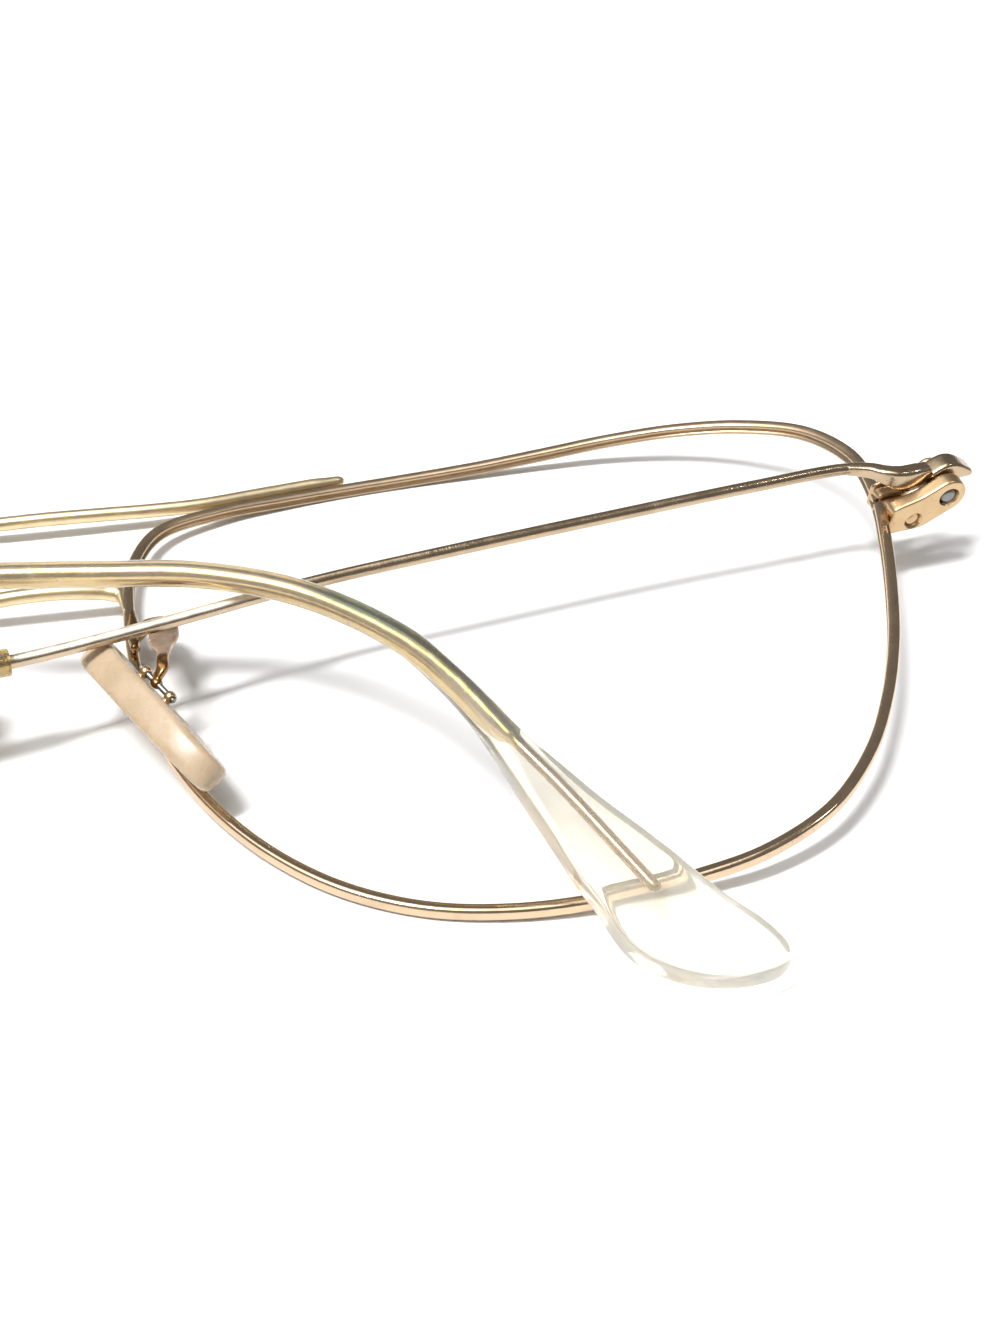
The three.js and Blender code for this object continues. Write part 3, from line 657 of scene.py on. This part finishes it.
def rim_section():
    """Depth (towards the table) and radius (outwards): rounded outside, a groove for the glass inside."""
    a, b = RIM_DEPTH, RIM_RADIAL
    pts = []
    for t in np.linspace(0, np.pi, 25):
        c, s = math.cos(t), math.sin(t)
        pts.append((a * np.sign(c) * abs(c) ** (2 / 2.7), b * abs(s) ** (2 / 2.7)))
    for t in np.linspace(0, np.pi / 2, 8)[1:]:
        pts.append((-a * 0.5 - a * 0.5 * math.cos(t) ** 0.8, -b * math.sin(t) ** 0.8))
    pts += [(-a * 0.42, -b + 0.02), (-a * 0.3, -b + 0.12), (-a * 0.08, -b + GROOVE_DEPTH * 0.92), (a * 0.08, -b + GROOVE_DEPTH * 0.92), (a * 0.3, -b + 0.12), (a * 0.42, -b + 0.02)]
    for t in np.linspace(np.pi / 2, 0, 8)[:-1]:
        pts.append((a * 0.5 + a * 0.5 * math.cos(t) ** 0.8, -b * math.sin(t) ** 0.8))
    return np.array(pts)


def eyewire(side):
    u0 = split_at(side)
    half = RIM_SPLIT / 2 / RIM_LENGTH
    p = outline_at(u0 + half + (1 - 2 * half) * np.linspace(0, 1, 440))[:, :2]
    t = unit(np.gradient(p, axis=0))
    out = np.stack([t[:, 1], -t[:, 0]], axis=1)
    if np.sum(out * (p - p.mean(0))) < 0:
        out = -out
    sec = rim_section()
    rings = []
    for i in range(len(p)):
        q = p[i] + sec[:, 1:2] * out[i]
        rings.append(np.stack([q[:, 0], q[:, 1], front_z(q[:, 0], q[:, 1]) - sec[:, 0]], axis=1))
    part = loft(rings)
    return part if side == "right" else moved(part, MIRROR)


for side in ("right", "left"):
    piece(f"{side}_eyewire", eyewire(side), "front", f"{side}_rim", ROSE, angle=50)

# ------------------------------------------------------------------ brow bar and lower bridge
def both_ways(half):
    return [[-a[0], a[1], a[2]] for a in half[:0:-1]] + half


bar = resample(catmull(both_ways(BAR_HALF)), 0.3)
s = lengths(bar)
near = np.minimum(s, s[-1] - s)
piece("brow_wire", tube(bar, BAR_R * (0.8 + 0.2 * smooth(near, 0, 2.2)), sides=32, ends=(1.6, 1.6)), "front", "brow_bar", PAINTED_GLARE_GOLD)

# bridge wire, its solder drawn out down the nose side of both eyewires
bridge = resample(catmull(both_ways(BRIDGE_HALF)), 0.2)
s = lengths(bridge)
near = np.minimum(s, s[-1] - s)
flare = 0.3 * (1 - smooth(near, 0, 1.1))
shapes = [tube(bridge, BRIDGE_R * (1 + flare), BRIDGE_R * (1 + 0.5 * flare), sides=32, ends=(0.5, 0.5))]
for f in (1, -1):
    run = catmull([[6.05 * f, 11.9, 2.05], [5.98 * f, 11.0, 2.0], [6.05 * f, 10.2, 1.98], [6.2 * f, 9.4, 1.97], [6.35 * f, 8.7, 1.98]], per=16)
    d = lengths(run) / lengths(run)[-1]
    shapes.append(tube(run, 0.42 * (1 - 0.72 * smooth(d, 0.15, 1)), 0.5 * (1 - 0.6 * smooth(d, 0.15, 1)), sides=20, ends=(0.8, 0.8)))
piece("bridge_wire", fused(shapes, 0.055, 5), "front", "lower_bridge", PAINTED_GLARE_GOLD, angle=60)


# ------------------------------------------------------------------ hinges
def arc(cx, cz, r, a, b, n):
    t = np.radians(np.linspace(a, b, n + 1))
    return np.stack([cx + r * np.cos(t), cz + r * np.sin(t)], axis=1)


def leaf(r, top):
    a, b = arc(0, 0, r, 122, 122, 1)[0], arc(0, 0, r, -62, -62, 1)[0]
    return np.vstack([arc(0, 0, r, -62, 122, 30), rounded([a, [-2.3, top], [-4.7, top - 0.7], [-4.8, -2.7], [-1.9, -2.75], b], [0, 0.5, 0.4, 0.4, 0.6, 0])[1:-1]])


BLOCK = rounded([[-1.98, -0.85], [-4.6, -0.85], [-4.7, -2.7], [-1.98, -2.75]], 0.45)
KNUCKLE = np.vstack([
    arc(0, 0, HINGE_R, -38, 6, 10),
    rounded([[1.49, 0.16], [2.6, 0.2], [2.9, 0.42], [2.75, 0.76], [2.25, 1.12], [1.7, 1.5], [1.1, 1.8], [0.45, 1.88], [-0.25, 1.66], [-0.8, 1.3], [-1.4, 0.9], [-1.49, 0.16]], [0] + [0.35] * 10 + [0])[1:-1],
    arc(0, 0, HINGE_R, 174, 300, 20),
])
# bar between the knuckle and the wire: middle, half height, half depth
TAB = [[-0.9, -0.12, 1.2, 0.62, 0.62], [-1.9, -0.2, 0.95, 0.7, 0.98], [-2.9, -0.2, 0.88, 0.72, 1.04], [-3.7, -0.08, 1.08, 0.7, 0.86], [-4.5, 0.36, 1.24, 0.62, 0.64], [-5.1, 0.95, 1.22, 0.53, 0.55], [-5.9, 1.42, 1.19, 0.5, 0.5], [-6.9, 1.8, 1.17, 0.44, 0.44]]
CLOSING = np.array([[1, 0, 0, CLOSE_X], [0, 1, 0, 0], [0, 0, 1, CLOSE_Z], [0, 0, 0, 1.0]])

for side in ("right", "left"):
    basis = hinge_basis(side)
    place = basis if side == "right" else basis @ MIRROR
    # lugs: leaf with the closing block behind it, softened together where they meet
    lower = fused([plate(leaf(HINGE_R, 0.42), -LEAF_OUT, -LEAF_IN, 0.2), plate(BLOCK, -LEAF_OUT + 0.12, -0.14, 0.3)], 0.05, 12)
    lower = boolean(lower, lathe([(-4.0, 1.02), (-2.33, 0.84), (-2.2, 0.7), (4.0, 0.7)], 40), "DIFFERENCE")
    well = moved(lathe([(-4.0, 0.9), (-2.34, 0.78), (-2.22, 0.62), (-1.9, 0.58), (-1.86, 0.46), (4.0, 0.46)], 36), CLOSING)
    lower = boolean(lower, well, "DIFFERENCE")
    piece(f"{side}_lower_leaf", moved(lower, place), "front", f"{side}_lower_lug", WARM, angle=48)
    upper = fused([plate(leaf(0.98, 0.1), LEAF_IN, UPPER_OUT - 0.2, 0.18), plate(BLOCK, 0.14, UPPER_OUT - 0.25, 0.3)], 0.05, 12)
    upper = boolean(upper, lathe([(-4.0, 0.7), (4.0, 0.7)], 40), "DIFFERENCE")
    piece(f"{side}_upper_leaf", moved(upper, place), "front", f"{side}_upper_lug", WARM, angle=48)

    # hinge screw: low slotted head above, its tail showing below
    body = lathe([(-2.34, 0.1), (-2.335, 0.3), (-2.31, 0.44), (-2.24, 0.55), (-2.12, 0.62), (1.52, 0.62), (1.54, 0.7), (1.6, 0.76), (1.7, 0.72), (1.78, 0.6), (1.83, 0.4), (1.85, 0.12)], 40)
    slot = plate(rounded([[-1.4, -0.11], [1.4, -0.11], [1.4, 0.11], [-1.4, 0.11]], 0.02), 1.7, 3.4, 0.02)
    piece(f"{side}_hinge_pin_screw", moved(boolean(body, slot, "DIFFERENCE"), place), "front", f"{side}_hinge_screw", STEEL_WITH_PAINTED_SHADE, angle=35)

    # closing screw, sunk in the lower lug: a shallow dished head
    body = lathe([(-2.02, 0.06), (-2.03, 0.2), (-2.08, 0.34), (-2.12, 0.45), (-2.08, 0.53), (-1.98, 0.56), (-1.84, 0.55), (-1.8, 0.42), (1.44, 0.42), (1.5, 0.28)], 36)
    piece(f"{side}_block_screw", moved(body, place @ CLOSING), "front", f"{side}_closing_screw", WARM, angle=50)


# ------------------------------------------------------------------ temples and ear tips
for side in ("right", "left"):
    basis = hinge_basis(side)
    place = basis if side == "right" else basis @ MIRROR
    start = (place @ np.array([-3.4, -0.1, 1.2, 1.0]))[:3]
    route = np.vstack([[start], WIRE[side], CORE[side]])
    dense = catmull(route, per=60)
    p = resample(dense, 0.3)
    s = lengths(p)
    sleeve = s[((p - np.array(WIRE[side][-1])) ** 2).sum(1).argmin()]
    # where the thick part of the wire stops inside the clear tip
    stop_at = np.array([31.55, -16.5, 7.27]) if side == "left" else np.array([-31.6, -21.9, 5.75])
    stop = s[((p - stop_at) ** 2).sum(1).argmin()]
    r = WIRE_R + 0.135 * smooth(s, sleeve - 0.2, sleeve + 0.8) - 0.155 * smooth(s, stop - 0.3, stop + 0.3)
    inner = r * (1 - 0.12 * (1 - smooth(s, 1.5, 4.5)))
    wire = tube(p, inner, sides=24, ends=(0.6, 1.0))
    # the wire flattens and widens into the knuckle
    bar_at = catmull(TAB, per=12)
    flared = []
    tb, lb, nb = side_frames(bar_at, (0, 1, 0))
    for i in range(len(bar_at)):
        cx, cy = section(32, 3.6)
        flared.append(bar_at[i, :3] + cx[:, None] * lb[i] * bar_at[i, 4] + cy[:, None] * nb[i] * bar_at[i, 3])
    knuckle = fused([moved(loft(flared), place), moved(plate(KNUCKLE, -KNUCKLE_H, KNUCKLE_H, 0.3), place)], 0.055, 5)
    knuckle = boolean(knuckle, moved(lathe([(-3.0, 0.72), (3.0, 0.72)], 36), place), "DIFFERENCE")
    me = boolean(wire, knuckle, "UNION")
    # the side of the wire that takes the upper-side tints: verdigris on the left temple, the painted highlight on the
    # right
    upper_side = (0.68, 0.4, 0.615) if side == "left" else (-0.3, 0.45, 0.84)
    piece(f"{side}_temple_wire", me, f"{side}_temple", f"{side}_temple", TEMPLE[side], angle=48, along=p, facing=upper_side)

    # ear tip: tube over the wire that widens into a flat blade
    st = np.array(TIP[side])[:11 if side == "left" else 10]
    last = len(st) - 1
    st[:, 3] = st[:, 3] ** 2
    q = catmull(st, per=80)[:80 * (last - 1) + 1]
    q[:, 3] = np.sqrt(q[:, 3])
    total = lengths(q)[-1]
    keep = np.concatenate([[0, 0.03, 0.09, 0.16], np.linspace(0.4, total, int(total / 0.35))])
    q = at_length(q, keep)
    _, lat, nor = side_frames(q)
    shrink = np.ones(len(q))
    shrink[:4] = [0.86, 0.93, 0.985, 1.0]
    rings = []
    for i in range(len(q)):
        w, h = q[i, 3] * shrink[i], q[i, 4] * shrink[i]
        e = h * (1 - 0.48 * float(smooth(q[i, 3] / q[i, 4], 1.05, 2.0)))
        sec = slab_section(w, h, min(e, w * 0.98, h * 0.98))
        rings.append(q[i, :3] + sec[:, 0:1] * lat[i] + sec[:, 1:2] * nor[i])
    # its round end, drawn between the lower and the upper edge
    f = 1 if side == "left" else -1
    wide = q[-1]
    sides = [[q[i, :2] + g * f * lat[i, :2] * q[i, 3] - wide[:2] for i in (-9, -1)] for g in (1, -1)]
    edge = np.vstack([sides[0], np.array(BLADE_END) * [f, 1.0], sides[1][::-1]])
    edge = catmull(np.c_[edge, np.zeros(len(edge))], per=40)[40:-40, :2]
    fall = unit(np.array([0.62 * f, -0.785]))
    far = (edge @ unit(np.array([0.9 * f, -0.45]))).argmax()
    tip, way = edge[far], unit(edge[far + 1] - edge[far - 1])
    low, top = edge[:far + 1], edge[far:][::-1]
    middle = []
    for k in range(1, 91):
        s = min(math.sin(math.pi / 2 * k / 90), 0.9994)
        ends = [at_length(np.c_[c, np.zeros(len(c))], [s * lengths(np.c_[c, np.zeros(len(c))])[-1]])[0, :2] for c in (low, top)]
        z = [np.interp(v @ fall, BLADE_AT, BLADE_Z[side]) for v in ends]
        points = [np.array([*(wide[:2] + v), c]) for v, c in zip(ends, z)]
        if f < 0:
            points = points[::-1]
        c, across = (points[0] + points[1]) / 2, (points[0] - points[1]) / 2
        w = np.linalg.norm(across)
        run = (c[:2] - wide[:2]) @ fall
        slope = (np.interp(run + 1.2, BLADE_AT, BLADE_Z[side]) - np.interp(run - 1.2, BLADE_AT, BLADE_Z[side])) / (min(run + 1.2, 11.9) - max(run - 1.2, 0))
        over = np.array([-slope * fall[0], -slope * fall[1], 1.0])
        over = unit(over - across * (over @ across) / w ** 2)
        h = wide[4] - 0.05 * s
        e = 0.52 * h
        depth = abs((c[:2] - wide[:2] - tip) @ np.array([-way[1], way[0]]))
        if depth < e:
            h -= e - math.sqrt(max(0.0, e * e - (e - depth) ** 2))
        sec = slab_section(w, h, min(e, w * 0.98, h * 0.98))
        rings.append(c + sec[:, 0:1] * across / w + sec[:, 1:2] * over)
        middle.append(c)
    piece(f"{side}_tip", loft(rings), f"{side}_temple", f"{side}_ear_tip", CLEAR, angle=60, along=np.vstack([q[:, :3], middle]))


# ------------------------------------------------------------------ nose pads
def pad_basis(side):
    f = 1 if side == "right" else -1
    k = np.array([f, 1, 1.0])
    x, y = unit(np.array(PAD["along"]) * k), unit(np.array(PAD["back"]) * k)
    z = unit(np.cross(x, y))
    y = unit(np.cross(z, x))
    m = np.eye(4)
    m[:3, 0], m[:3, 1], m[:3, 2], m[:3, 3] = x, y, z, np.array(PAD["at"]) * k
    return m


def pad_shape(up):
    """Oval block: flat sides, its nose face softly rounded, its back edge crisper, a little crown on both faces.
    Its upper long edge is flatter, so that it passes under the folded temples when the pad swings."""
    front, back = PAD_BACK - PAD_T + 0.16, PAD_BACK + 0.3
    rf, rb = 0.72, 0.55
    levels = [(2.3, front - 0.02), (1.9, front - 0.015), (1.4, front), (1.0, front + 0.005)]
    levels += [(rf * (1 - math.sin(math.radians(a))), front + rf * (1 - math.cos(math.radians(a)))) for a in range(0, 91, 10)]
    levels += [(-0.03, (front + back) / 2 + 0.1)]
    levels += [(rb * (1 - math.cos(math.radians(a))), back - rb * (1 - math.sin(math.radians(a)))) for a in range(0, 91, 15)]
    levels += [(0.7, back + 0.01), (1.2, back + 0.02), (1.8, back + 0.025), (2.3, back + 0.025)]
    x, z = section(96, 2.4)
    rings = []
    for i, y in levels:
        px = 1.4 + (PAD_HALF_L + 0.3 - i) * x
        lift = 0.2 * (1 - smooth(px, -6.5, -1.6)) - 0.2 * smooth(px, 2.5, 8.5)
        rings.append(np.stack([px, y + lift * smooth(y, front, back), (PAD_HALF_W - i) * z * np.where(up * z > 0, 0.83, 1.0)], axis=1))
    return loft(rings)


def bead(x0, x1, r, ends=0.72, n=28):
    m, h = (x0 + x1) / 2, (x1 - x0) / 2
    return lathe([(m + h * math.sin(a), r * (ends + (1 - ends) * math.cos(a))) for a in np.radians([-90, -70, -50, -25, 0, 25, 50, 70, 90])], n, axis="x")


for side in ("right", "left"):
    m = pad_basis(side)
    piece(f"{side}_pad_shell", moved(pad_shape(1 if side == "right" else -1), m), f"{side}_pad", f"{side}_nose_pad", NOSE, angle=60)

    ears = [plate(rounded([[-2.2, -1.05], [2.2, -1.05], [2.2, 1.05], [-2.2, 1.05]], 0.5), -0.97, -0.63, 0.08)]
    for x in (-1.515, 1.515):
        ears.append(bead(x - 0.36, x + 0.36, 0.43, 0.5))
        ears.append(plate(rounded([[x - 0.2, -0.3], [x + 0.2, -0.3], [x + 0.2, 0.3], [x - 0.2, 0.3]], 0.08), -0.85, -0.05, 0.05))
    ears = boolean(fused(ears, 0.04, 5), lathe([(-3.0, 0.285), (3.0, 0.285)], 32, axis="x"), "DIFFERENCE")
    piece(f"{side}_pad_ears", moved(ears, m), f"{side}_pad", f"{side}_pad_bracket", BRIGHT, angle=60)

    pin = lathe([(-2.16, 0.06), (-2.14, 0.16), (-2.08, 0.25), (-1.98, 0.3), (-1.86, 0.27), (-1.8, 0.22), (1.86, 0.22), (1.96, 0.2), (2.02, 0.08)], 24, axis="x")
    piece(f"{side}_pad_axle", moved(pin, m), "front", f"{side}_pad_pin", STEEL_WITH_PAINTED_SHADE, angle=45)

    # arm: broad strap at the top of its loop, narrowing to the barrel on the pin
    f = np.array([1 if side == "right" else -1, 1, 1.0])
    route = np.array(PAD_ARM)
    route[2:6, 0] -= [0.1, 0.35, 0.5, 0.3]
    a = resample(catmull(route * f), 0.12)
    u = lengths(a) / lengths(a)[-1]
    broad = 0.5 + 0.6 * smooth(u, 0.03, 0.2) * (1 - smooth(u, 0.44, 0.78)) - 0.08 * smooth(u, 0.65, 0.95)
    strip = tube(a, broad, 0.27, sides=28, power=2.8, ends=(0.6, 0.6), up=(0, 0.3, 1))
    barrel = moved(bead(-0.55, 0.2, 0.4, 0.55), m)
    # solder that holds the arm, run up the inner side of the eyewire
    foot = catmull(np.array([[6.8, 9.4, 1.72], [6.88, 8.0, 1.82], [6.98, 6.3, 1.98], [7.05, 4.7, 2.2], [7.1, 3.6, 2.3]]) * f, per=16)
    v = lengths(foot) / lengths(foot)[-1]
    root = tube(foot, 0.2 + 0.28 * smooth(v, 0, 0.5) - 0.12 * smooth(v, 0.75, 1), 0.2 + 0.2 * smooth(v, 0, 0.5), sides=20, ends=(0.8, 0.8))
    piece(f"{side}_arm", fused([strip, barrel, root], 0.04, 7), "front", f"{side}_pad_arm", ARM_GOLD_PAINTED_SHADE, angle=60)

# ------------------------------------------------------------------ floor, light, camera
me = bpy.data.meshes.new("floor")
me.from_pydata([(-3, -3, 0), (3, -3, 0), (3, 3, 0), (-3, 3, 0)], [], [(0, 1, 2, 3)])
floor = bpy.data.objects.new("floor", me)
scene.collection.objects.link(floor)
m, nt, b, _ = new_material("floor_paper")
w = where_node(nt)
nt.links.new(mix_colour(nt, noise(nt, w, 60, 3), (0.87, 0.87, 0.87), (0.855, 0.855, 0.855)), b.inputs["Base Color"])
b.inputs["Roughness"].default_value = 0.75
b.inputs["Specular IOR Level"].default_value = 0.1
me.materials.append(m)

TARGET = Vector((0.030, 0.0, 0.0))


def area_light(name, direction, distance, size, radiance, colour=(1, 1, 1)):
    d = Vector(direction).normalized()
    l = bpy.data.lights.new(name, "AREA")
    l.shape = "RECTANGLE"
    l.size, l.size_y = size
    l.energy = radiance * math.pi * size[0] * size[1]
    l.color = colour
    o = bpy.data.objects.new(name, l)
    o.location = TARGET + d * distance
    o.rotation_euler = d.to_track_quat("Z", "Y").to_euler()
    scene.collection.objects.link(o)
    return o


area_light("key", (-0.33, -0.1, 0.94), 2.5, (0.3, 0.9), 80.0)
area_light("overhead", (-0.29, 0.0, 0.957), 2.0, (2.1, 1.9), 1.7)
area_light("side_lamp", (0.51, -0.09, 0.855), 2.2, (0.2, 0.2), 26.0)

world = bpy.data.worlds.new("studio")
scene.world = world
world.use_nodes = True
nt = world.node_tree
nt.nodes.clear()
out = nt.nodes.new("ShaderNodeOutputWorld")
bg = nt.nodes.new("ShaderNodeBackground")
nt.links.new(bg.outputs[0], out.inputs[0])
x = put(nt, "ShaderNodeSeparateXYZ", {0: put(nt, "ShaderNodeTexCoord").outputs["Generated"]}).outputs[0]
nt.links.new(mix_colour(nt, remap(nt, x, -0.6, 0.1), (0.36, 0.36, 0.36), (0.21, 0.21, 0.21)), bg.inputs["Color"])
bg.inputs["Strength"].default_value = 1.0

cam = bpy.data.cameras.new("camera")
cam.sensor_width = 36.0
cam.sensor_fit = "AUTO"
cam.lens = FOCAL_PX * 36.0 / IMAGE_H
cam.clip_start, cam.clip_end = 0.005, 20.0
cam_o = bpy.data.objects.new("camera", cam)
r, u = unit(CAM_RIGHT), unit(CAM_UP)
back = np.cross(r, u)
rot = Matrix(((r[0], u[0], back[0]), (r[1], u[1], back[1]), (r[2], u[2], back[2])))
cam_o.matrix_world = Matrix.Translation(Vector((CAM_AT + OFF) / 1000.0)) @ rot.to_4x4()
scene.collection.objects.link(cam_o)
scene.camera = cam_o

scene.view_settings.view_transform = "Standard"
scene.view_settings.look = "None"
scene.view_settings.exposure = 0.0
scene.view_settings.gamma = 1.0
scene.cycles.max_bounces = 16
scene.cycles.transmission_bounces = 12
scene.cycles.transparent_max_bounces = 12
